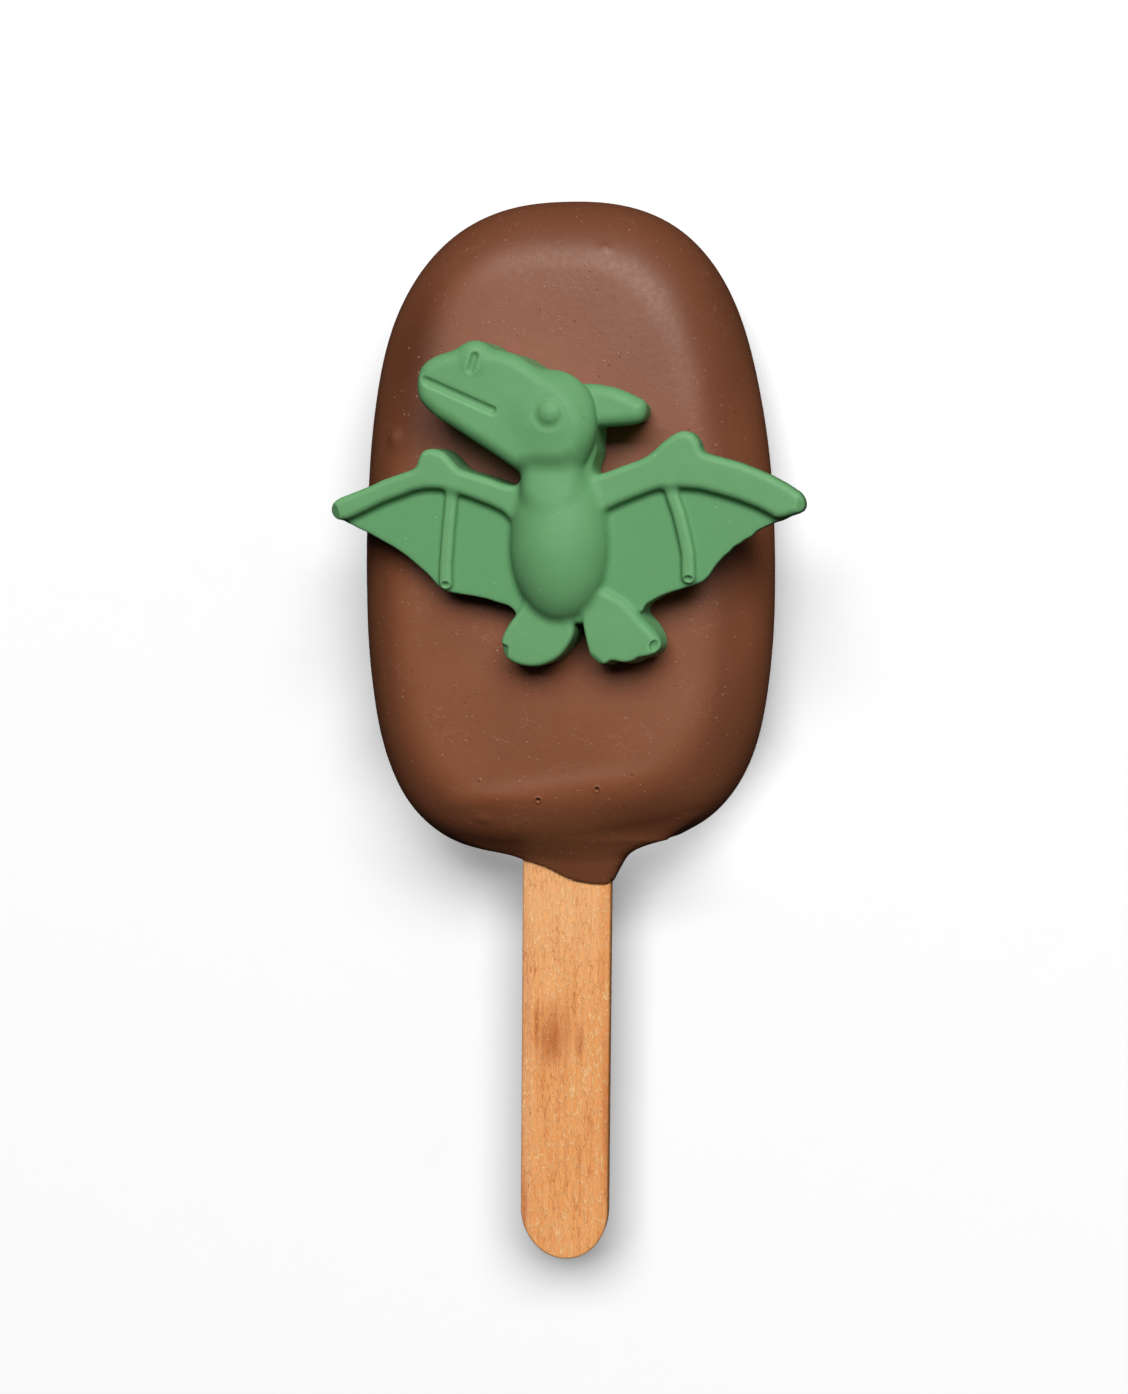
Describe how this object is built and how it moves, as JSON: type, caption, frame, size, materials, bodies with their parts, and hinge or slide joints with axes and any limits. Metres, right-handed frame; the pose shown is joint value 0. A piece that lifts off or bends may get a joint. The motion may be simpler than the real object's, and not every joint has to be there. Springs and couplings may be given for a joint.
{
  "type": "cakesicle",
  "caption": "Chocolate-coated cake bar on a flat wooden stick, with a moulded green pterodactyl lying on its crown.",
  "frame": {"origin": "centre of the bar's flat back, on the surface it lies on", "axes": "+Z out of the decorated face, +Y along the bar from the stick towards the round end, +X to the right seen from above"},
  "size_m": [0.0527, 0.1235, 0.0299],
  "materials": {
    "chocolate": "satin milk chocolate coating",
    "stick_wood": "plain unsealed wood",
    "green_icing": "satin moulded icing"
  },
  "bodies": {
    "root": {"chocolate_bar": "chocolate", "wooden_stick": "stick_wood", "pterodactyl_topper": "green_icing"}
  },
  "joints": []
}
